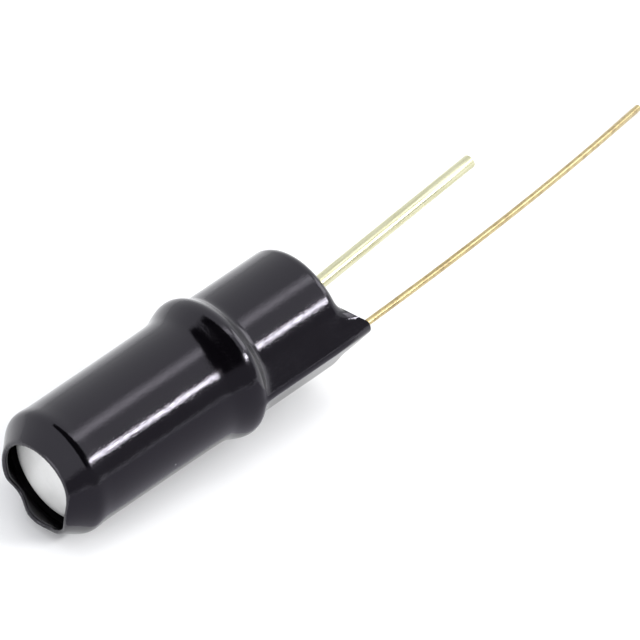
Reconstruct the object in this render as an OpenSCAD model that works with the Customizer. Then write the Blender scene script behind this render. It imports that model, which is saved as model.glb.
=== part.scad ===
// Ball tilt sensor in a black heat-shrunk sleeve, with a thick centre pin and a thin case lead.
// Two plated balls roll inside a drawn can. When the pin end is low enough, they bridge the
// head of the centre pin and the can. The sensor lies on its side, on the front shoulder of the
// sleeve, on its flange and on the tip of the wire, so its axis rises a little towards the leads.
//
// Each piece is drawn on the body axis: x is 0 at the closed end of the can and grows towards
// the leads. lie_down() then lays the whole sensor on the floor, z = 0.
// Angles round the body are measured from the case lead, unless a comment says otherwise.

/* [Can] */
// Outside diameter of the drawn can
can_d = 5.0; // [4.8:0.05:5.2]
// Length from the closed end of the can to the front of its flange
can_length = 8.25; // [8.0:0.05:9.4]
// Outside radius of the can's closed corner
can_corner = 0.65; // [0.4:0.05:0.9]
// Thickness of the sheet that the can and the header are drawn from
sheet = 0.2; // [0.15:0.01:0.22]

/* [Flange] */
// Outside diameter of the can's flange, which is rolled over the header's flange
flange_d = 5.75; // [5.6:0.05:6.1]
// How far the rolled edge laps over the header's flange
roll_lap = 0.14; // [0.08:0.01:0.16]
// Radius of the rolled edge's outer corners
roll_corner = 0.12; // [0.06:0.01:0.14]

/* [Header] */
// Outside diameter of the header, the rear shell that holds the insulator
header_d = 4.95; // [4.8:0.05:5.05]
// Length of the header from the front of its flange to its rear face
header_length = 5.1; // [4.8:0.05:6.0]
// Outside radius of the header's rear corner
header_corner = 0.3; // [0.29:0.01:0.34]
// Width of the rear rim that is turned in to hold the insulator
rim_turn = 0.35; // [0.2:0.05:0.6]

/* [Insulator] */
// Length of the insulator's plug
plug_length = 3.45; // [3.3:0.05:3.6]
// Diameter of the boss that the head of the pin seats on
boss_d = 2.0; // [1.6:0.1:2.6]
// Height of the boss
boss_height = 0.2; // [0.1:0.05:0.3]
// Diameter of the well at the rear, where the pin is free to lean
well_d = 1.8; // [1.4:0.1:2.4]

/* [Centre pin] */
// Diameter of the centre pin
pin_d = 0.6; // [0.5:0.05:0.7]
// How far the pin reaches past the rear face of the header, along the body
pin_reach = 10.43; // [6:0.5:14]
// Thicker end of the pin's root, which tapers to the free pin inside the header
root_d = 0.7; // [0.64:0.02:0.72]
// Lean of the free pin from the body axis
pin_lean = 4.2; // [0:0.2:5]
// Diameter of the collar that the insulator grips
collar_d = 0.74; // [0.72:0.02:0.9]
// Length of the collar behind the boss
pin_grip = 0.7; // [0.5:0.1:1.4]
// Diameter of the contact head
head_d = 1.4; // [1.0:0.1:1.8]
// Thickness of the contact head
head_thickness = 0.24; // [0.16:0.02:0.3]

/* [Case lead] */
// Diameter of the case lead, a thin wire
wire_d = 0.3; // [0.24:0.02:0.34]
// Length of the wire from its first bend, just behind the ear, to its free end
wire_length = 20.46; // [16:0.1:24]
// Straight length at the wire's free end
wire_straight = 3.1; // [2:0.1:5]
// Angle of the first bend. The wire then curves on until its tip lies on the floor.
wire_kick = 9; // [0:0.5:12]
// Length of the flattened end that is welded to the header
weld_length = 0.9; // [0.6:0.05:1.2]
// Width of the flattened end
weld_width = 0.5; // [0.36:0.02:0.6]
// Thickness of the flattened end
weld_thickness = 0.12; // [0.08:0.01:0.18]

/* [Balls] */
// Diameter of each of the two balls
ball_d = 3.9; // [3.7:0.05:4.0]

/* [Sleeve] */
// Wall of the shrunk sleeve
sleeve_wall = 0.23; // [0.19:0.01:0.27]
// How far the free lip stands out in front of the can
lip_reach = 0.98; // [0.7:0.02:1.2]
// Slope of the lip: how much its radius drops for each millimetre of reach
lip_slope = 0.7; // [0.5:0.01:0.8]
// How much gentler the slope is on the lip's gentle side, and steeper on the other
lip_skew = 0.18; // [0:0.01:0.24]
// How far the long lobe of the lip stands out past the rest
lobe_reach = 0.28; // [0:0.02:0.3]
// Depth of the notch in the lip
notch_depth = 0.46; // [0:0.02:0.5]
// Swelling of the sleeve at the front shoulder
shoulder_swell = 0.045; // [0.02:0.005:0.06]
// Radius of the sleeve's rear edge
rear_round = 0.5; // [0.45:0.01:0.55]
// Width of the sleeve's edge that is turned in over the rear face
rear_turn = 0.12; // [0.05:0.01:0.2]
// How far the ear stands out past the sleeve's rear edge, along the wire
ear_reach = 0.97; // [0.6:0.01:1.2]

/* [Clearances] */
// Gap between pieces that are pressed, rolled or moulded together
seat_gap = 0.01; // [0.005:0.005:0.02]
// Gap between the shrunk sleeve and the metal
sleeve_gap = 0.02; // [0.015:0.005:0.03]
// Gap between the balls and the wall that they roll on
ball_gap = 0.04; // [0.03:0.01:0.06]
// Gap left at each end of the balls' travel, and between the two balls
stop_gap = 0.05; // [0.03:0.01:0.08]

/* [Hidden] */
$fn = 30;
slack = 0.1; // how far a cut runs past the face that it opens

// Radii of the metal pieces
can_r = can_d / 2;
can_bore_r = can_r - sheet;
flange_r = flange_d / 2;
header_r = header_d / 2;
header_bore_r = header_r - sheet;
pin_r = pin_d / 2;
root_r = root_d / 2;
collar_r = collar_d / 2;
wire_r = wire_d / 2;
ball_r = ball_d / 2;

// Stations along the body axis, from the closed end to the leads
flange_front = can_length;
header_front = flange_front + sheet + seat_gap;
roll_front = header_front + sheet + seat_gap;
flange_rear = roll_front + sheet;
flange_middle = (flange_front + flange_rear) / 2;
header_rear = header_front + header_length;
plug_rear = header_rear - sheet - seat_gap;
plug_front = plug_rear - plug_length;
head_rear = plug_front - boss_height - seat_gap;
head_front = head_rear - head_thickness;
pin_bend_x = plug_front + pin_grip;
root_out = 0.25; // how far behind the header the pin's root ends
pin_tip_x = header_rear + pin_reach;

// The balls at rest against the closed end, and how far they roll towards the pin
ball_drop = header_bore_r - ball_r - ball_gap;
weight_ball_x = sheet + stop_gap + ball_r;
contact_ball_x = weight_ball_x + ball_d + stop_gap;
ball_travel = head_front - stop_gap - contact_ball_x - ball_r;

// The sleeve's outer skin
around = 64;
skin_can_r = can_r + sleeve_gap + sleeve_wall;
skin_flange_r = flange_r + sleeve_gap + sleeve_wall;
skin_rear_r = header_r + sleeve_gap + sleeve_wall;
skin_wire_r = wire_r + sleeve_gap + sleeve_wall;
skin_rear_x = header_rear + sleeve_gap + sleeve_wall;
ramp_front = 0.67; // how far in front of the flange the sleeve starts to rise
ramp_rear = 0.46;  // and how far behind it the sleeve is down again
foot_front = 0.16; // softness of the corner at the foot of the front ramp
foot_rear = 0.05;  // and of the rear one
crown = 0.27;      // softness of the skin's crest over the flange
crease = 0.12;     // softness of the crease between shoulder and lip
swell_x = 0.12;    // where the shoulder swells most, and over what length
swell_length = 0.45;
ear_span = 39;     // half the angle that the ear takes from the sleeve's edge
ear_flat = 6;      // half the angle of the ear's blunt tip
ear_taper = 0.05;  // how much the ear closes on the wire at its tip

// The wire lies half a facet above the horizontal, on the -Y side, so that a flat
// facet of the sleeve faces the floor. Angles here run from +Y towards +Z.
wire_angle = 180 - 180 / around;
pin_way = 36;      // the way in which the pin leans
wire_way = -45.2;  // the way in which the wire bends
gentle_side = 37.5; // where the lip slopes most gently, measured from the wire
wire_offset = header_r + seat_gap + wire_r;

// The lobe, the dip and the notch of the lip: [angle from the wire, half width]
lobe_at = [12, 30];
dip_at = [76, 13];
notch_at = [130, 17];
dip_depth = 0.12;

// ---------------------------------------------------------------- helpers

module lie_down() {
    translate([-middle_x * cos(lie_angle), 0, lie_height])
        rotate([0, -lie_angle, 0])
            children();
}

// Turns an outline about the body axis. In the outline, X is the radius and Y is the station.
module turned() {
    rotate([0, 90, 0])
        rotate_extrude()
            children();
}

// A solid outline from station 0, with its first corner rounded
module round_ended(r, length, corner) {
    square([r - corner, length]);
    translate([0, corner])
        square([r, length - corner]);
    translate([r - corner, corner])
        circle(corner);
}

// A ring outline between two radii and two stations
module band(r_in, r_out, x_from, x_to) {
    translate([r_in, x_from])
        square([r_out - r_in, x_to - x_from]);
}

function mix(a, b, share) = a + (b - a) * share;
function clamp(value) = min(1, max(0, value));
function ease(value) = (1 - cos(180 * clamp(value))) / 2;
function wrap(angle) = angle - 360 * floor((angle + 180) / 360);
function bell(distance, width) = exp(-pow(distance / width, 2));
function upper(a, b, softness) = (a + b + sqrt(pow(a - b, 2) + pow(softness, 2))) / 2;
function lower(a, b, softness) = a + b - upper(a, b, softness);

// A round lead along +X from the origin. At each mitred joint it turns a little towards +Y.
// headings holds each length's angle from +X.
module mitred_lead(r, lengths, headings, k = 0) {
    block = 8 * r;
    last = k == len(lengths) - 1;
    turn = last ? 0 : headings[k + 1] - headings[k];
    difference() {
        translate([k == 0 ? 0 : -r, 0, 0])
            rotate([0, 90, 0])
                cylinder(h = lengths[k] + (k == 0 ? r : 2 * r), r = r);
        if (k > 0)
            rotate([0, 0, (headings[k - 1] - headings[k]) / 2])
                translate([-block, -block / 2, -block / 2])
                    cube(block);
        translate([lengths[k], 0, 0])
            rotate([0, 0, turn / 2])
                translate([0, -block / 2, -block / 2])
                    cube(block);
    }
    if (!last)
        translate([lengths[k], 0, 0])
            rotate([0, 0, turn])
                mitred_lead(r, lengths, headings, k + 1);
}

// ---------------------------------------------------------------- the sleeve's form

// The slope and the reach of the lip at an angle from the wire
function slope(a) = lip_slope - lip_skew * cos(a - gentle_side);
function reach(a) = lip_reach
    + lobe_reach * bell(wrap(a - lobe_at[0]), lobe_at[1])
    - dip_depth * bell(wrap(a - dip_at[0]), dip_at[1])
    - notch_depth * bell(wrap(a - notch_at[0]), notch_at[1]);

// The rear section: a circle round the header, and two flat flanks that run out to the wire.
// depth is 0 on the outer skin and the wall on the inner one.
function teardrop(a, depth) =
    let (
        body = skin_rear_r - depth,
        tip = skin_wire_r - depth,
        flank = acos((body - tip) / wire_offset),
        top = atan2(tip * sin(flank), wire_offset + tip * cos(flank)),
        off = abs(wrap(a))
    )
    off >= flank ? body
    : off >= top ? body / cos(flank - off)
    : wire_offset * cos(off) + sqrt(pow(tip, 2) - pow(wire_offset * sin(off), 2));

// Radius of the skin at a station x, in front of its rear edge. The inner skin lies flat on
// the flange, and the outer one is stretched over it to a round crest.
function skin(x, a, depth) =
    let (
        share = depth / sleeve_wall,
        lip_depth = x < 0 ? depth * sqrt(1 + pow(slope(a), 2)) : depth,
        front = skin_can_r + shoulder_swell * bell(x - swell_x, swell_length)
            - slope(a) * (sqrt(x * x + crease * crease) - x) / 2 - lip_depth,
        rear = teardrop(a, depth),
        top = skin_flange_r - depth,
        rise = top + (skin_flange_r - skin_can_r) * (x - flange_front) / ramp_front,
        fall = top + (skin_flange_r - skin_rear_r) * (flange_rear - x) / ramp_rear,
        soft = mix(crown, 0.02, share),
        crest = lower(lower(rise, fall, soft), top + soft / 6, soft / 2)
    )
    mix(
        upper(front, crest, mix(foot_front, 0.02, share)),
        upper(rear, crest, mix(foot_rear, 0.02, share)),
        ease((x - flange_front) / (flange_rear - flange_front))
    );

// A point of the lip, from its cut edge (0) to the shoulder (1)
function lip_point(share, a, depth) =
    let (
        lean = atan(slope(a)),
        edge_x = -reach(a) + depth * sin(lean),
        x = edge_x * (1 - share)
    )
    [x, skin(x, a, depth)];

// A point of the rear edge. It turns in round the header's corner, but near the wire it
// runs out as the ear.
function rear_point(share, a, depth) =
    let (
        start = skin_rear_x - rear_round,
        turn = 90 * min(1, share * 1.2),
        r_edge = rear_round - depth,
        inwards = rear_turn * max(0, share * 6 - 5),
        rounded = [
            start + r_edge * sin(turn),
            teardrop(180, depth) - r_edge * (1 - cos(turn)) - inwards,
        ],
        ear = [
            start + (rear_round + ear_reach) * share,
            teardrop(a, depth) - ear_taper * share * share,
        ],
        off = abs(wrap(a)),
        out = pow(1 - clamp((off - ear_flat) / (ear_span - ear_flat)), 1.6),
        held = 1 - ease((off - 2 * ear_flat) / (ear_span - 2 * ear_flat))
    )
    [mix(rounded[0], ear[0], out), mix(rounded[1], ear[1], held)];

// Stations of the rings: shares along the lip, then stations along the body, then shares
// of the rear edge
outer_lip = [0, 0.35, 0.7, 0.9];
inner_lip = [0, 0.8];
outer_stations = concat(
    [0.02, 0.12, 0.3, 0.6, 1.1, (flange_front - ramp_front) / 2],
    [for (k = [-1:5]) flange_front - ramp_front * (1 - k / 5)],
    [flange_middle],
    [for (k = [0:6]) flange_rear + ramp_rear * k / 5],
    [(flange_rear + skin_rear_x) / 2]
);
inner_stations = [
    0.02, 0.12, 0.3, 0.6, 1.1,
    flange_front - ramp_front, flange_front, flange_middle, flange_rear, flange_rear + ramp_rear,
];
rear_shares = [0, 1 / 6, 1 / 3, 1 / 2, 2 / 3, 5 / 6, 1];

function skin_ring_points(a, depth, lip, stations) = concat(
    [for (share = lip) lip_point(share, a, depth)],
    [for (x = stations) [x, skin(x, a, depth)]],
    [for (share = rear_shares) rear_point(share, a, depth)]
);
function backwards(list) = [for (k = [len(list) - 1:-1:0]) list[k]];

// The section of the sleeve at an angle: outer skin forwards, inner skin back
function wall_section(a) = concat(
    skin_ring_points(a, 0, outer_lip, outer_stations),
    backwards(skin_ring_points(a, sleeve_wall, inner_lip, inner_stations))
);

module shrunk_tube() {
    sections = [for (k = [0:around - 1]) wall_section(k * 360 / around)];
    rings = len(sections[0]);
    points = [
        for (s = [0:rings - 1], k = [0:around - 1])
            let (p = sections[k][s], phi = wire_angle + k * 360 / around)
            [p[0], p[1] * cos(phi), p[1] * sin(phi)]
    ];
    function at(s, k) = (s % rings) * around + k % around;
    faces = [
        for (s = [0:rings - 1], k = [0:around - 1], half = [0, 1])
            half == 0
            ? [at(s, k), at(s + 1, k), at(s + 1, k + 1)]
            : [at(s, k), at(s + 1, k + 1), at(s, k + 1)]
    ];
    polyhedron(points, faces, convexity = 6);
}

// ---------------------------------------------------------------- how it lies

// The floor is level with a facet of the flange and with the shoulder's station that
// stands out most. foot_r() is how far the facet's corner lies below the axis.
function foot_r(x) = skin(x, 90, 0) * cos(180 / around);
lie_angle = min([
    for (x = outer_stations)
        if (x < can_length / 2)
            atan((foot_r(flange_middle) - foot_r(x)) / (flange_middle - x))
]);
lie_height = foot_r(flange_middle) * cos(lie_angle) - flange_middle * sin(lie_angle);

// The wire: straight under the sleeve and through the ear, then curved from the first bend
// to the straight end. Halving finds the heading at which its tip touches the floor.
pad_x = flange_rear + 0.15;
wire_start_x = pad_x + weld_length / 2;
wire_bend_x = skin_rear_x + ear_reach + 0.07;
curve_steps = 5;
wire_lengths = concat(
    [wire_bend_x - wire_start_x],
    [for (k = [1:curve_steps]) (wire_length - wire_straight) / curve_steps],
    [wire_straight]
);
function wire_headings(end) = concat(
    [0],
    [for (k = [0:curve_steps]) mix(wire_kick, end, k / curve_steps)]
);
function total(list, k = 0) = k < len(list) ? list[k] + total(list, k + 1) : 0;
function tip_x(end) =
    wire_start_x + total([for (k = [0:curve_steps + 1]) wire_lengths[k] * cos(wire_headings(end)[k])]);
function tip_rise(end) =
    wire_offset * sin(wire_angle) + sin(wire_way)
        * total([for (k = [0:curve_steps + 1]) wire_lengths[k] * sin(wire_headings(end)[k])]);
function tip_height(end) =
    let (climb = sin(end) * sin(wire_way) * cos(lie_angle) + cos(end) * sin(lie_angle))
    lie_height + tip_rise(end) * cos(lie_angle) + tip_x(end) * sin(lie_angle)
        - wire_r * sqrt(1 - climb * climb);
function touching(low, high, steps) =
    let (middle = (low + high) / 2)
    steps == 0 ? middle
    : tip_height(middle) > 0 ? touching(middle, high, steps - 1)
    : touching(low, middle, steps - 1);
wire_end = touching(wire_kick, 80, 30);

// The middle of the whole sensor, from the long lobe of the lip to the tip of the wire
wire_rim_x = tip_x(wire_end) - tip_rise(wire_end) * tan(lie_angle) + wire_r * sin(wire_end);
middle_x = (wire_rim_x - lip_reach - lobe_reach) / 2;

// ---------------------------------------------------------------- pieces

module heat_shrink_sleeve() {
    color([0.08, 0.08, 0.1])
        lie_down()
            shrunk_tube();
}

// Deep drawn cup. Its mouth is flanged and rolled over the header's flange.
module can() {
    color([0.8, 0.8, 0.79])
        lie_down()
            turned() {
                difference() {
                    round_ended(can_r, flange_front + sheet, can_corner);
                    translate([0, sheet])
                        round_ended(can_bore_r, flange_front + slack, can_corner - sheet);
                }
                difference() {
                    union() {
                        band(can_bore_r, flange_r - roll_corner, flange_front, flange_rear);
                        band(can_bore_r, flange_r, flange_front + roll_corner, flange_rear - roll_corner);
                        for (x = [flange_front + roll_corner, flange_rear - roll_corner])
                            translate([flange_r - roll_corner, x])
                                circle(roll_corner);
                    }
                    band(0, flange_r - sheet, header_front - seat_gap, roll_front);
                    band(0, flange_r - sheet - roll_lap, roll_front - slack, flange_rear + slack);
                }
            }
}

// Rear shell: a flanged tube whose rear rim is turned in behind the insulator
module header_shell() {
    color([0.8, 0.68, 0.42])
        lie_down()
            turned() {
                band(header_bore_r, flange_r - sheet - seat_gap, header_front, header_front + sheet);
                difference() {
                    translate([0, header_rear])
                        mirror([0, 1])
                            round_ended(header_r, header_length, header_corner);
                    band(-slack, header_bore_r, header_front - slack, header_rear - sheet);
                    band(-slack, header_bore_r - rim_turn, header_front, header_rear + slack);
                }
            }
}

// Moulded plug. The pin is gripped at the front and free in the well at the rear.
module insulator() {
    grip_r = collar_r + seat_gap;
    color([0.24, 0.12, 0.08])
        lie_down()
            turned()
                difference() {
                    union() {
                        band(0, header_bore_r - seat_gap, plug_front, plug_rear);
                        band(0, boss_d / 2, plug_front - boss_height, plug_front + slack);
                    }
                    band(-slack, grip_r, plug_front - 1, plug_rear + slack);
                    polygon([
                        [0, pin_bend_x - 0.3],
                        [grip_r, pin_bend_x - 0.3],
                        [well_d / 2, plug_rear],
                        [well_d / 2, plug_rear + slack],
                        [0, plug_rear + slack],
                    ]);
                }
}

// Thick lead: a contact head, a collar in the insulator's grip, a tapered root that is free
// to lean in the well, and the free length, which leans away from the wire
module centre_pin() {
    rooted = 0.3; // how deep the root starts inside the collar
    root_end = rooted + (header_rear + root_out - pin_bend_x) / cos(pin_lean);
    pin_end = rooted + (pin_tip_x - pin_bend_x) / cos(pin_lean);
    color([0.85, 0.83, 0.6])
        lie_down() {
            turned() {
                band(0, head_d / 2, head_front, head_rear);
                band(0, collar_r, head_front, pin_bend_x);
            }
            translate([pin_bend_x, 0, 0])
                rotate([pin_way, 0, 0])
                    rotate([0, 0, pin_lean])
                        translate([-rooted, 0, 0])
                            turned()
                                polygon([
                                    [0, 0],
                                    [root_r, 0],
                                    [pin_r, root_end],
                                    [pin_r, pin_end],
                                    [0, pin_end],
                                ]);
        }
}

// Thin wire, flattened and welded to the header just behind the flange. It runs under the
// sleeve, leaves it through the ear and bends down to the floor.
module case_lead() {
    color([0.78, 0.6, 0.36])
        lie_down()
            rotate([wire_angle, 0, 0]) {
                intersection() {
                    turned()
                        band(header_r + seat_gap, header_r + seat_gap + weld_thickness,
                            pad_x, pad_x + weld_length);
                    translate([pad_x - slack, 0, -weld_width / 2])
                        cube([weld_length + 2 * slack, header_d, weld_width]);
                }
                translate([wire_start_x, wire_offset, 0])
                    rotate([wire_way - wire_angle, 0, 0])
                        mitred_lead(wire_r, wire_lengths, wire_headings(wire_end));
            }
}

// One plated ball, lying on the lower wall of the bore
module ball_at(x) {
    color([0.86, 0.72, 0.4])
        lie_down()
            translate([x, 0, -ball_drop])
                sphere(ball_r);
}

module contact_ball() {
    ball_at(contact_ball_x);
}

module weight_ball() {
    ball_at(weight_ball_x);
}

heat_shrink_sleeve();
can();
header_shell();
insulator();
centre_pin();
case_lead();
contact_ball();
weight_ball();
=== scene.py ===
import math

import bpy
import numpy as np
from mathutils import Matrix, Vector, noise


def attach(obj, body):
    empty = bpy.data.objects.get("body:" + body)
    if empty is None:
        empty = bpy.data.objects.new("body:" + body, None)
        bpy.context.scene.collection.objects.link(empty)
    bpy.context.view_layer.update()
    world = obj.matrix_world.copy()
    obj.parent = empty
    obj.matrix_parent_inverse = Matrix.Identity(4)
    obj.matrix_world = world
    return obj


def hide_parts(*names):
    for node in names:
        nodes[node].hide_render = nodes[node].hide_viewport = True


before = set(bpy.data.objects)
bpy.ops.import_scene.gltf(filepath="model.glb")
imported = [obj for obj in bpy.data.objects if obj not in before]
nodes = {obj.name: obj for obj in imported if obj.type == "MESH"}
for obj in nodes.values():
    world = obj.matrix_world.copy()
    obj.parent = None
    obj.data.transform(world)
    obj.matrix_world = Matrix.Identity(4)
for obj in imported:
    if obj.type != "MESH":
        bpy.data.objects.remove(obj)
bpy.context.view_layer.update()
scene = bpy.context.scene
scene.view_settings.view_transform = "Standard"


# ---------------------------------------------------------------- camera
# A long lens looks down on the closed end and on the wire's side, with the leads away.
# The sensor lies on its side with its axis rising a little towards the leads. Places are worked
# out along that axis: x is 0 at the closed end, and angles run round it from +Y towards +Z.

MM = 0.001
LIE_ANGLE = math.radians(2.3338)
AXIS_HEIGHT = 2.7713 * MM
MIDDLE_X = 16.664 * MM
WIRE_ANGLE = math.radians(177.1875)

VIEW_LEAN = math.radians(60.6)       # between the sensor's axis and the line of sight
WIRE_TURN = math.radians(52.5)       # from the side that faces the camera round to the wire
AXIS_SLOPE = math.radians(34.2)      # of the axis in the frame
CAMERA_DISTANCE = 0.8
PIXELS_PER_MM = 25.1
FRAME_PIXELS = 640
AIM_ALONG = 12.27 * MM               # from the can's closed end to the middle of the frame
AIM_ASIDE = 0.935 * MM

lying = (
    Matrix.Translation((-MIDDLE_X * math.cos(LIE_ANGLE), 0, AXIS_HEIGHT))
    @ Matrix.Rotation(-LIE_ANGLE, 4, "Y")
)
axis_start = lying @ Vector((0, 0, 0))
axis_way = (lying.to_3x3() @ Vector((1, 0, 0))).normalized()


def across(angle):
    """The way out from the axis at an angle, as the sensor lies."""
    return (lying.to_3x3() @ Vector((0, math.cos(angle), math.sin(angle)))).normalized()


facing = across(WIRE_ANGLE - WIRE_TURN)
aside = axis_way.cross(facing)
back = (-math.cos(VIEW_LEAN) * axis_way + math.sin(VIEW_LEAN) * facing).normalized()
along = (axis_way - axis_way.dot(back) * back).normalized()
right = math.cos(AXIS_SLOPE) * along + math.sin(AXIS_SLOPE) * aside
up = math.sin(AXIS_SLOPE) * along - math.cos(AXIS_SLOPE) * aside
aim = axis_start + AIM_ALONG * along + AIM_ASIDE * aside

camera = bpy.data.objects.new("camera", bpy.data.cameras.new("camera"))
scene.collection.objects.link(camera)
scene.camera = camera
camera.data.sensor_width = 36
camera.data.lens = PIXELS_PER_MM * 36 * CAMERA_DISTANCE / MM / FRAME_PIXELS
camera.data.clip_start, camera.data.clip_end = 0.01, 3
turn = Matrix((right, up, back)).transposed()
camera.matrix_world = Matrix.Translation(aim + CAMERA_DISTANCE * back) @ turn.to_4x4()


# ---------------------------------------------------------------- studio
# Plain white surroundings, a long narrow lamp and a soft panel above the sensor, and weak
# panels in front of its closed end and behind its leads. Dark screens, which only shiny
# surfaces mirror, stand for the camera and the dark side of the room. A grey sheet on the table
# beside the sensor, which only shiny surfaces mirror too, is painted shade for the sensor's shadow
# there.

world = bpy.data.worlds.new("studio")
scene.world = world
world.use_nodes = True
sky = world.node_tree
backdrop = sky.nodes["Background"]
backdrop.inputs["Color"].default_value = (1, 1, 1, 1)
backdrop.inputs["Strength"].default_value = 1
ambient = sky.nodes.new("ShaderNodeBackground")
ambient.inputs["Color"].default_value = (0.96, 0.97, 1, 1)
ambient.inputs["Strength"].default_value = 1.1
seen = sky.nodes.new("ShaderNodeLightPath")
pick = sky.nodes.new("ShaderNodeMixShader")
sky.links.new(seen.outputs["Is Camera Ray"], pick.inputs[0])
sky.links.new(ambient.outputs[0], pick.inputs[1])
sky.links.new(backdrop.outputs[0], pick.inputs[2])
sky.links.new(pick.outputs[0], sky.nodes["World Output"].inputs[0])


def mirrored(degrees):
    """The way that the camera sees mirrored in the round side, at an angle from the facing side."""
    turned = math.radians(2 * degrees)
    flat = math.cos(turned) * facing + math.sin(turned) * aside
    return math.cos(VIEW_LEAN) * axis_way + math.sin(VIEW_LEAN) * flat


def facing_turn(way, long_way):
    """The turn of a flat thing that looks back along a way, with its Y side along another."""
    y = (long_way - long_way.dot(way) * way).normalized()
    return Matrix((y.cross(way), y, way)).transposed()


def softbox(name, way, distance, width, length, brightness, long_way):
    """An area light that looks at the sensor, as bright as it looks in a mirror."""
    light = bpy.data.objects.new(name, bpy.data.lights.new(name, "AREA"))
    scene.collection.objects.link(light)
    light.data.shape = "RECTANGLE"
    light.data.size, light.data.size_y = width, length
    light.data.energy = brightness * math.pi * width * length
    way = way.normalized()
    turned = facing_turn(way, long_way).to_4x4()
    light.matrix_world = Matrix.Translation(aim + way * distance) @ turned
    light.visible_camera = False


softbox("lamp", mirrored(9.3), 0.9, 0.075, 0.5, 38, axis_way)
softbox("top_panel", mirrored(-15), 0.9, 0.26, 0.5, 1.1, axis_way)
softbox("top_panel_middle", mirrored(-14.5), 0.88, 0.11, 0.45, 1.5, axis_way)
upwards = Vector((0, 0, 1))
softbox("front_panel", -axis_way + 0.35 * upwards, 0.5, 0.3, 0.3, 2, upwards)
behind_leads = Vector((0.88, -0.19, 0.44))
down_aside = Vector((0.24, 0.35, -0.33))
softbox("back_panel", behind_leads, 0.7, 0.26, 0.42, 2.6, down_aside)


def plain_material(name, colour, roughness, metallic=0.0):
    """A material of one colour. Gives its node tree and its shader too, for more detail."""
    material = bpy.data.materials.new(name)
    material.use_nodes = True
    shader = material.node_tree.nodes["Principled BSDF"]
    shader.inputs["Base Color"].default_value = (*colour, 1)
    shader.inputs["Roughness"].default_value = roughness
    shader.inputs["Metallic"].default_value = metallic
    return material, material.node_tree, shader


def screen(name, corners, brightness):
    """A dark screen that is seen in shiny surfaces alone."""
    material, tree, shader = plain_material(name, (0, 0, 0), 1)
    shader.inputs["Specular IOR Level"].default_value = 0
    shader.inputs["Emission Color"].default_value = (0.92, 0.9, 1, 1)
    shader.inputs["Emission Strength"].default_value = brightness
    mesh = bpy.data.meshes.new(name)
    mesh.from_pydata([tuple(corner) for corner in corners], [], [(0, 1, 2, 3)])
    mesh.materials.append(material)
    card = bpy.data.objects.new(name, mesh)
    scene.collection.objects.link(card)
    card.visible_camera = card.visible_diffuse = card.visible_shadow = False


def upright(way, distance, width, length):
    """Corners of a flat thing that looks back along a way, its length along the sensor's axis."""
    side = way.cross(axis_way).normalized()
    middle = aim + way * distance
    return [
        middle + side * width * x / 2 + axis_way * length * y / 2
        for x, y in ((-1, -1), (1, -1), (1, 1), (-1, 1))
    ]


dark_side = math.radians(39)
dark_way = math.cos(dark_side) * facing + math.sin(dark_side) * aside
screen("camera_screen", upright(facing, 0.35, 1.6, 0.29), 0)
screen("room_screen", upright(dark_way, 0.2, 0.115, 0.5), 0.35)
# Painted shade: a dim grey sheet just above the table on the sensor's -Y side, seen only in shiny
# surfaces, where it darkens the mirrored table as the sensor's shadow would.
shaded_table_corners = ((-24, -2.6), (-2, -2.6), (70, -130), (-90, -130))
screen("table_shade_screen", [Vector((x, y, 0.3)) * MM for x, y in shaded_table_corners], 0.7)


# ---------------------------------------------------------------- floor
# A white table top under the whole sensor.

bpy.ops.mesh.primitive_plane_add(size=2.4)
floor = bpy.context.object
floor.name = "floor"
table_top, tree, shader = plain_material("table_top", (0.94, 0.94, 0.94), 0.9)
shader.inputs["Specular IOR Level"].default_value = 0.1
floor.data.materials.append(table_top)


# ---------------------------------------------------------------- can
# A cup deep drawn from steel sheet and plated with satin nickel. Its mouth is rolled over the
# header's flange. Only the flat of its closed end shows, inside the sleeve's lip.

NICKEL = (0.74, 0.74, 0.73)
WORN_NICKEL = (0.68, 0.68, 0.67)


def mottle(tree, size, stretch=1.0, way=None, detail=3):
    """Random blotches of a size in millimetres, drawn out along a way."""
    where = tree.nodes.new("ShaderNodeTexCoord")
    place = tree.nodes.new("ShaderNodeMapping")
    place.vector_type = "TEXTURE"
    if way:
        place.inputs["Rotation"].default_value = way.to_track_quat("X", "Z").to_euler()
    place.inputs["Scale"].default_value = (size * stretch * MM, size * MM, size * MM)
    blotches = tree.nodes.new("ShaderNodeTexNoise")
    blotches.inputs["Scale"].default_value = 1
    blotches.inputs["Detail"].default_value = detail
    tree.links.new(where.outputs["Object"], place.inputs["Vector"])
    tree.links.new(place.outputs[0], blotches.inputs["Vector"])
    return blotches.outputs[0]


def spread(tree, share, low, high, target, start=0.35, end=0.65):
    """Turns a share into values from low to high on a socket."""
    values = tree.nodes.new("ShaderNodeMapRange")
    for name, value in (("From Min", start), ("From Max", end), ("To Min", low), ("To Max", high)):
        values.inputs[name].default_value = value
    tree.links.new(share, values.inputs["Value"])
    if target:
        tree.links.new(values.outputs[0], target)
    return values.outputs[0]


def tint(tree, share, shader, stops):
    """Colours the shader by a share, through stops of (place, colour)."""
    ramp = tree.nodes.new("ShaderNodeValToRGB")
    marks = ramp.color_ramp.elements
    while len(marks) < len(stops):
        marks.new(0.5)
    for mark, (place, colour) in zip(marks, stops):
        mark.position, mark.color = place, (*colour, 1)
    tree.links.new(share, ramp.inputs[0])
    tree.links.new(ramp.outputs[0], shader.inputs["Base Color"])


def roughen(tree, shader, layers):
    """Raises the surface by layers of (share, height in millimetres)."""
    normal = None
    for share, height in layers:
        bump = tree.nodes.new("ShaderNodeBump")
        bump.inputs["Distance"].default_value = height * MM
        tree.links.new(share, bump.inputs["Height"])
        if normal:
            tree.links.new(normal, bump.inputs["Normal"])
        normal = bump.outputs[0]
    tree.links.new(normal, shader.inputs["Normal"])


def finish_node(name, material):
    """Gives a piece of the frame its material."""
    for place in nodes[name].material_slots:
        place.material = material


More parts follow.
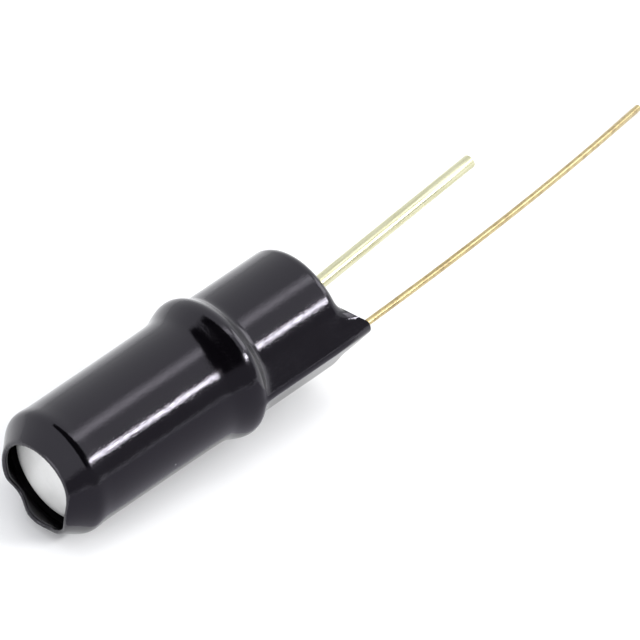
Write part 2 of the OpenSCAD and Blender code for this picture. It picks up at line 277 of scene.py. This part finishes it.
satin_nickel, tree, shader = plain_material("satin_nickel", NICKEL, 0.5, 0.3)
tint(tree, mottle(tree, 0.9), shader, [(0.3, WORN_NICKEL), (0.6, NICKEL)])
spread(tree, mottle(tree, 0.2), 0.38, 0.52, shader.inputs["Roughness"])
roughen(tree, shader, [(mottle(tree, 0.03), 0.0008)])
finish_node("can", satin_nickel)


# ---------------------------------------------------------------- weight ball
# A plated steel ball that rolls in the can and pushes the other one.

BALL_GOLD = (0.86, 0.70, 0.40)
BALL_RUBBED = (0.70, 0.60, 0.42)

ball_plate, tree, shader = plain_material("ball_plate", BALL_GOLD, 0.12, 1)
tint(tree, mottle(tree, 0.7), shader, [(0.35, BALL_RUBBED), (0.55, BALL_GOLD)])
spread(tree, mottle(tree, 0.15), 0.08, 0.22, shader.inputs["Roughness"])
roughen(tree, shader, [(mottle(tree, 0.05), 0.0003)])
finish_node("weight_ball", ball_plate)


# ---------------------------------------------------------------- contact ball
# The same ball again, next to the head of the pin. It closes the contact.

finish_node("contact_ball", ball_plate)


# ---------------------------------------------------------------- centre pin
# A thick round lead with a flat contact head, turned and plated a pale bright gold. The
# insulator grips its collar, and behind that it leans a little away from the wire.

HEAD_FRONT, HEAD_REAR, PIN_BEND_X, PIN_TIP_X = 9.45, 9.69, 10.6, 23.99
HEAD_R, COLLAR_R, ROOT_R, PIN_R = 0.70, 0.37, 0.35, 0.30
ROOT_END_X = 13.81
PIN_WAY = math.radians(36)           # the way in which the pin leans
PIN_LEAN = math.radians(4.2)
HEAD_BEVEL = 0.03
PIN_PALE = (0.66, 0.65, 0.45)
PIN_OLIVE = (0.56, 0.55, 0.36)


def ring(centre, way, radius, count=36, flat=1.0, flat_way=None):
    """Points round a way, as a circle or flattened along another way."""
    top = (flat_way or Vector((0, 0, 1)))
    top = (top - top.dot(way) * way).normalized()
    side = way.cross(top)
    points = []
    for k in range(count):
        angle = math.tau * k / count
        points.append(centre + radius * (math.cos(angle) * flat * top + math.sin(angle) * side))
    return points


def skinned(name, rings, material, closed=False):
    """A smooth mesh through rings of points, in millimetres along the sensor's axis."""
    count = len(rings[0])
    points = [tuple(lying @ (Vector(p) * MM)) for points in rings for p in points]
    faces = []
    steps = len(rings) if closed else len(rings) - 1
    for s in range(steps):
        here, there = s * count, (s + 1) % len(rings) * count
        for k in range(count):
            n = (k + 1) % count
            faces.append((here + k, here + n, there + n, there + k))
    if not closed:
        faces.append(tuple(range(count - 1, -1, -1)))
        faces.append(tuple(range(steps * count, steps * count + count)))
    mesh = bpy.data.meshes.new(name)
    mesh.from_pydata(points, [], faces)
    mesh.update()
    mesh.shade_smooth()
    mesh.set_sharp_from_angle(angle=math.radians(38))
    mesh.materials.append(material)
    piece = bpy.data.objects.new(name, mesh)
    scene.collection.objects.link(piece)
    return piece


pin_way = Vector((
    math.cos(PIN_LEAN),
    math.sin(PIN_LEAN) * math.cos(PIN_WAY),
    math.sin(PIN_LEAN) * math.sin(PIN_WAY),
))
pin_gold, tree, shader = plain_material("pin_gold", PIN_PALE, 0.3, 1)
pin_line = lying.to_3x3() @ pin_way
tint(tree, mottle(tree, 0.12, 12, pin_line), shader, [(0.35, PIN_OLIVE), (0.6, PIN_PALE)])
spread(tree, mottle(tree, 0.3, 3, pin_line), 0.25, 0.34, shader.inputs["Roughness"])
roughen(tree, shader, [(mottle(tree, 0.06, 30, pin_line), 0.0005), (mottle(tree, 0.9), 0.003)])

straight = Vector((1, 0, 0))
bend = Vector((PIN_BEND_X, 0, 0))
rings = [
    ring(Vector((x, 0, 0)), straight, r)
    for x, r in (
        (HEAD_FRONT, HEAD_R - HEAD_BEVEL), (HEAD_FRONT + HEAD_BEVEL, HEAD_R),
        (HEAD_REAR - HEAD_BEVEL, HEAD_R), (HEAD_REAR, HEAD_R - HEAD_BEVEL),
        (HEAD_REAR, COLLAR_R), (PIN_BEND_X - 0.02, COLLAR_R), (PIN_BEND_X, ROOT_R),
    )
]
rings += [
    ring(bend + pin_way * (x - PIN_BEND_X) / math.cos(PIN_LEAN), pin_way, r)
    for x, r in (
        (PIN_BEND_X + 0.1, ROOT_R), (ROOT_END_X, PIN_R), (17, PIN_R), (20.5, PIN_R),
        (PIN_TIP_X - 0.06, PIN_R), (PIN_TIP_X - 0.02, PIN_R - 0.02), (PIN_TIP_X, PIN_R - 0.06),
    )
]
pin = skinned("pin", rings, pin_gold)
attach(pin, "housing")
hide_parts("centre_pin")


# ---------------------------------------------------------------- insulator
# A plug of dark brown phenolic, moulded round the pin's collar and held by the header.

PHENOLIC = (0.060, 0.030, 0.018)
PHENOLIC_PALE = (0.11, 0.06, 0.035)

phenolic, tree, shader = plain_material("phenolic", PHENOLIC, 0.5)
tint(tree, mottle(tree, 0.25), shader, [(0.4, PHENOLIC), (0.75, PHENOLIC_PALE)])
spread(tree, mottle(tree, 0.5), 0.42, 0.6, shader.inputs["Roughness"])
roughen(tree, shader, [(mottle(tree, 0.08), 0.003)])
finish_node("insulator", phenolic)


# ---------------------------------------------------------------- header shell
# A flanged tube drawn from brass sheet. Its rear rim is turned in behind the insulator.

BRASS = (0.72, 0.56, 0.28)
BRASS_DULL = (0.50, 0.38, 0.20)

drawn_brass, tree, shader = plain_material("drawn_brass", BRASS, 0.3, 1)
tint(tree, mottle(tree, 0.6), shader, [(0.35, BRASS_DULL), (0.6, BRASS)])
spread(tree, mottle(tree, 0.3, 6, axis_way), 0.25, 0.42, shader.inputs["Roughness"])
roughen(tree, shader, [(mottle(tree, 0.05, 30, axis_way), 0.0012)])
finish_node("header_shell", drawn_brass)


# ---------------------------------------------------------------- case lead
# A thin drawn wire, gold over a base that shows through in patches. Its flattened end is
# welded to the header. It leaves the sleeve through the ear and bends down to the floor.

WIRE_R, WIRE_OFFSET = 0.15, 2.635
PAD_X, WIRE_START_X = 9.02, 9.47
PAD_THICKNESS, PAD_WIDTH = 0.12, 0.5
WIRE_LENGTHS = [5.38] + [3.472] * 5 + [3.1]
WIRE_HEADINGS = [0, 9, 12.1445, 15.2889, 18.4334, 21.5778, 24.7223]
WIRE_WAY = math.radians(-45.2)       # the way in which the wire bends
BEND_REACH = 0.6                     # how far either side of the first bend the wire is curved
WIRE_BEVEL = 0.03
WIRE_SIDES = 24
WIRE_GOLD = (0.52, 0.43, 0.23)
WIRE_BROWN = (0.44, 0.35, 0.18)
WIRE_PATCH = (0.34, 0.27, 0.15)

wire_gold, tree, shader = plain_material("wire_gold", WIRE_GOLD, 0.32, 1)
tint(tree, mottle(tree, 0.28, 2, axis_way), shader,
     [(0.32, WIRE_PATCH), (0.42, WIRE_BROWN), (0.55, WIRE_GOLD)])
spread(tree, mottle(tree, 0.2), 0.2, 0.3, shader.inputs["Roughness"])
roughen(tree, shader, [(mottle(tree, 0.06, 8, axis_way), 0.0006), (mottle(tree, 0.8), 0.003)])

wire_out = Vector((0, math.cos(WIRE_ANGLE), math.sin(WIRE_ANGLE)))
wire_aside = Vector((0, math.cos(WIRE_WAY), math.sin(WIRE_WAY)))
points = [Vector((WIRE_START_X, 0, 0)) + WIRE_OFFSET * wire_out]
for length, heading in zip(WIRE_LENGTHS, WIRE_HEADINGS):
    heading = math.radians(heading)
    way = math.cos(heading) * straight + math.sin(heading) * wire_aside
    points.append(points[-1] + length * way)
bend = points[1]
points[1:2] = [
    bend + BEND_REACH * (points[0] - bend).normalized(),
    bend,
    bend + BEND_REACH * (points[2] - bend).normalized(),
]
for _ in range(3):
    cut = [points[0]]
    for here, there in zip(points, points[1:]):
        cut += [here.lerp(there, 0.25), here.lerp(there, 0.75)]
    points = cut + [points[-1]]
rings = []
pad_flat = PAD_THICKNESS / PAD_WIDTH
pad_out = WIRE_OFFSET - WIRE_R + PAD_THICKNESS / 2
for x, width in ((PAD_X, PAD_WIDTH - 0.1), (PAD_X + 0.04, PAD_WIDTH), (PAD_X + 0.5, PAD_WIDTH)):
    middle = Vector((x, 0, 0)) + pad_out * wire_out
    rings.append(ring(middle, straight, width / 2, WIRE_SIDES, pad_flat, wire_out))
for here, there in zip(points[1:], points[2:]):
    if here.x > PAD_X + 0.9:
        rings.append(ring(here, (there - here).normalized(), WIRE_R, WIRE_SIDES, 1, wire_out))
last_way = (points[-1] - points[-2]).normalized()
for back_off, r in ((WIRE_BEVEL, WIRE_R), (0, WIRE_R - WIRE_BEVEL)):
    rings.append(ring(points[-1] - back_off * last_way, last_way, r, WIRE_SIDES, 1, wire_out))
wire = skinned("wire", rings, wire_gold)
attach(wire, "housing")
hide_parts("case_lead")


# ---------------------------------------------------------------- sleeve
# A length of glossy black tube, shrunk over the whole body last of all. Its front edge stands
# out as a free, uneven lip, it swells over the flange, and it runs out along the wire as an ear.

WALL = 0.23
SKIN_CAN_R, SKIN_FLANGE_R, SKIN_REAR_R, SKIN_WIRE_R = 2.75, 3.125, 2.725, 0.40
FLANGE_FRONT, FLANGE_REAR, SKIN_REAR_X = 8.25, 8.87, 13.81
RAMP_FRONT, RAMP_REAR = 0.67, 0.46
FOOT_FRONT, FOOT_REAR, CROWN, CREASE = 0.16, 0.13, 0.27, 0.20
SWELL, SWELL_X, SWELL_LENGTH = 0.06, 0.12, 0.45
LIP_REACH, LIP_SLOPE, LIP_SKEW, GENTLE_SIDE = 0.98, 0.70, 0.18, 37.5
EDGE_ROUND, RAGGED = 0.09, 0.012
EDGE_DEPTHS = (0.9, 0.7, 0.5, 0.3, 0.1)   # stations across the lip's edge, as shares of the wall
LOBE, DIP, NOTCH = (0.28, 12, 30), (-0.12, 76, 13), (-0.46, 130, 17)
REAR_ROUND, REAR_TURN = 0.5, 0.12
EAR_REACH, EAR_SPAN, EAR_FLAT, EAR_TAPER = 0.97, 39, 6, 0.05
AROUND = 320
FACET = math.cos(math.pi / 64)       # keeps the round skin inside the frame's flat facets
TUBE_BLACK = (0.0018, 0.0015, 0.0022)
DUST_GREY = (0.20, 0.20, 0.21)


def mix(a, b, share):
    return a + (b - a) * share


def clamp(value):
    return min(1, max(0, value))


def ease(value):
    return (1 - math.cos(math.pi * clamp(value))) / 2


def wrap(angle):
    return (angle + 180) % 360 - 180


def bell(distance, width):
    return math.exp(-((distance / width) ** 2))


def upper(a, b, soft):
    return (a + b + math.hypot(a - b, soft)) / 2


def lower(a, b, soft):
    return a + b - upper(a, b, soft)


def lip_slope(a):
    return LIP_SLOPE - LIP_SKEW * math.cos(math.radians(a - GENTLE_SIDE))


def lip_reach(a):
    waves = sum(high * bell(wrap(a - at), width) for high, at, width in (LOBE, DIP, NOTCH))
    return LIP_REACH + waves


def teardrop(a, depth):
    """The rear section: a circle round the header, with flat flanks out to the wire."""
    body, tip = SKIN_REAR_R - depth, SKIN_WIRE_R - depth
    flank = math.acos((body - tip) / WIRE_OFFSET)
    top = math.atan2(tip * math.sin(flank), WIRE_OFFSET + tip * math.cos(flank))
    off = abs(math.radians(wrap(a)))
    if off >= flank:
        return body
    if off >= top:
        return body / math.cos(flank - off)
    return WIRE_OFFSET * math.cos(off) + math.sqrt(tip ** 2 - (WIRE_OFFSET * math.sin(off)) ** 2)


def skin(x, a, depth):
    """Radius of the tube's skin at a station, at an angle from the wire."""
    share = depth / WALL
    slope = lip_slope(a)
    lip_depth = depth * math.hypot(1, slope) if x < 0 else depth
    front = SKIN_CAN_R + SWELL * bell(x - SWELL_X, SWELL_LENGTH) - lip_depth
    front -= slope * (math.hypot(x, CREASE) - x) / 2
    top = SKIN_FLANGE_R - depth
    rise = top + (SKIN_FLANGE_R - SKIN_CAN_R) * (x - FLANGE_FRONT) / RAMP_FRONT
    fall = top + (SKIN_FLANGE_R - SKIN_REAR_R) * (FLANGE_REAR - x) / RAMP_REAR
    soft = mix(CROWN, 0.02, share)
    crest = lower(lower(rise, fall, soft), top + soft / 6, soft / 2)
    return mix(
        upper(front, crest, mix(FOOT_FRONT, 0.02, share)),
        upper(teardrop(a, depth), crest, mix(FOOT_REAR, 0.02, share)),
        ease((x - FLANGE_FRONT) / (FLANGE_REAR - FLANGE_FRONT)),
    )


def lip_point(share, a, depth):
    """A point from the lip's edge, which is rounded and slightly ragged, to the shoulder."""
    edge = -lip_reach(a) + depth * math.sin(math.atan(lip_slope(a)))
    edge += EDGE_ROUND * (1 - math.sqrt(1 - (2 * depth / WALL - 1) ** 2))
    edge += RAGGED * (1 + noise.noise(Vector((a * 0.4, 0, 0))))
    x = edge * (1 - share)
    return x, skin(x, a, depth)


def rear_point(share, a, depth):
    start = SKIN_REAR_X - REAR_ROUND
    turned = math.radians(90 * min(1, share * 1.2))
    edge_r = REAR_ROUND - depth
    rounded_x = start + edge_r * math.sin(turned)
    rounded_r = SKIN_REAR_R - depth - edge_r * (1 - math.cos(turned))
    rounded_r -= REAR_TURN * max(0, share * 6 - 5)
    ear_x = start + (REAR_ROUND + EAR_REACH) * share
    ear_r = teardrop(a, depth) - EAR_TAPER * share ** 2
    off = abs(wrap(a))
    out = (1 - clamp((off - EAR_FLAT) / (EAR_SPAN - EAR_FLAT))) ** 1.6
    held = 1 - ease((off - 2 * EAR_FLAT) / (EAR_SPAN - 2 * EAR_FLAT))
    return mix(rounded_x, ear_x, out), mix(rounded_r, ear_r, held)


def wall_section(a):
    """The tube's wall at an angle: its outer skin forwards and its inner skin back."""
    body = np.concatenate([
        np.linspace(0, 1.5, 16, endpoint=False),
        np.linspace(1.5, FLANGE_FRONT - 1.3, 8, endpoint=False),
        np.linspace(FLANGE_FRONT - 1.3, FLANGE_REAR + 0.9, 60, endpoint=False),
        np.linspace(FLANGE_REAR + 0.9, SKIN_REAR_X - REAR_ROUND, 8, endpoint=False),
    ])
    section = []
    for depth in (0, WALL):
        line = [lip_point(s, a, depth) for s in np.linspace(0, 1, 14, endpoint=False)]
        line += [(x, skin(x, a, depth)) for x in body]
        line += [rear_point(s, a, depth) for s in np.linspace(0, 1, 24)]
        section += line if depth == 0 else line[::-1]
    return section + [lip_point(0, a, WALL * share) for share in EDGE_DEPTHS]


tube_black, tree, shader = plain_material("tube_black", TUBE_BLACK, 0.1)
shader.inputs["Specular Tint"].default_value = (0.92, 0.88, 1, 1)
dust = tree.nodes.new("ShaderNodeTexVoronoi")
dust.inputs["Scale"].default_value = 0.42 / MM
where = tree.nodes.new("ShaderNodeTexCoord")
tree.links.new(where.outputs["Object"], dust.inputs["Vector"])
specks = spread(tree, dust.outputs["Distance"], 1, 0, None, 0.012, 0.022)
edge = tree.nodes.new("ShaderNodeAttribute")
edge.attribute_name = "cut_edge"
pale = tree.nodes.new("ShaderNodeMath")
pale.operation = "MAXIMUM"
tree.links.new(specks, pale.inputs[0])
tree.links.new(edge.outputs["Fac"], pale.inputs[1])
tint(tree, pale.outputs[0], shader, [(0, TUBE_BLACK), (1, DUST_GREY)])
dull = tree.nodes.new("ShaderNodeMath")
dull.operation = "MAXIMUM"
spread(tree, mottle(tree, 1.3), 0.07, 0.13, dull.inputs[0])
spread(tree, pale.outputs[0], 0, 0.5, dull.inputs[1], 0, 1)
tree.links.new(dull.outputs[0], shader.inputs["Roughness"])
roughen(tree, shader, [
    (mottle(tree, 2.2, 1.6, axis_way, 1), 0.016),
    (mottle(tree, 0.35, 1, None, 2), 0.0016),
    (mottle(tree, 0.05, 7, axis_way, 2), 0.0026),
    (mottle(tree, 0.08, 1, None, 2), 0.0028),
])

sections = [wall_section(k * 360 / AROUND) for k in range(AROUND)]
rings = []
for s in range(len(sections[0])):
    points = []
    for k in range(AROUND):
        x, r = sections[k][s]
        phi = WIRE_ANGLE + math.tau * k / AROUND
        points.append((x, r * FACET * math.cos(phi), r * FACET * math.sin(phi)))
    rings.append(points)
sleeve = skinned("shrunk_tube", rings, tube_black, closed=True)
cut_edge = sleeve.data.attributes.new("cut_edge", "FLOAT", "POINT")
half = (len(rings) - len(EDGE_DEPTHS)) // 2
edge_rings = {half - 1, half} | set(range(len(rings) - len(EDGE_DEPTHS) - 1, len(rings)))
cut_edge.data.foreach_set(
    "value", [0.02 if s in edge_rings else 0 for s in range(len(rings)) for _ in range(AROUND)]
)
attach(sleeve, "housing")
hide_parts("heat_shrink_sleeve")
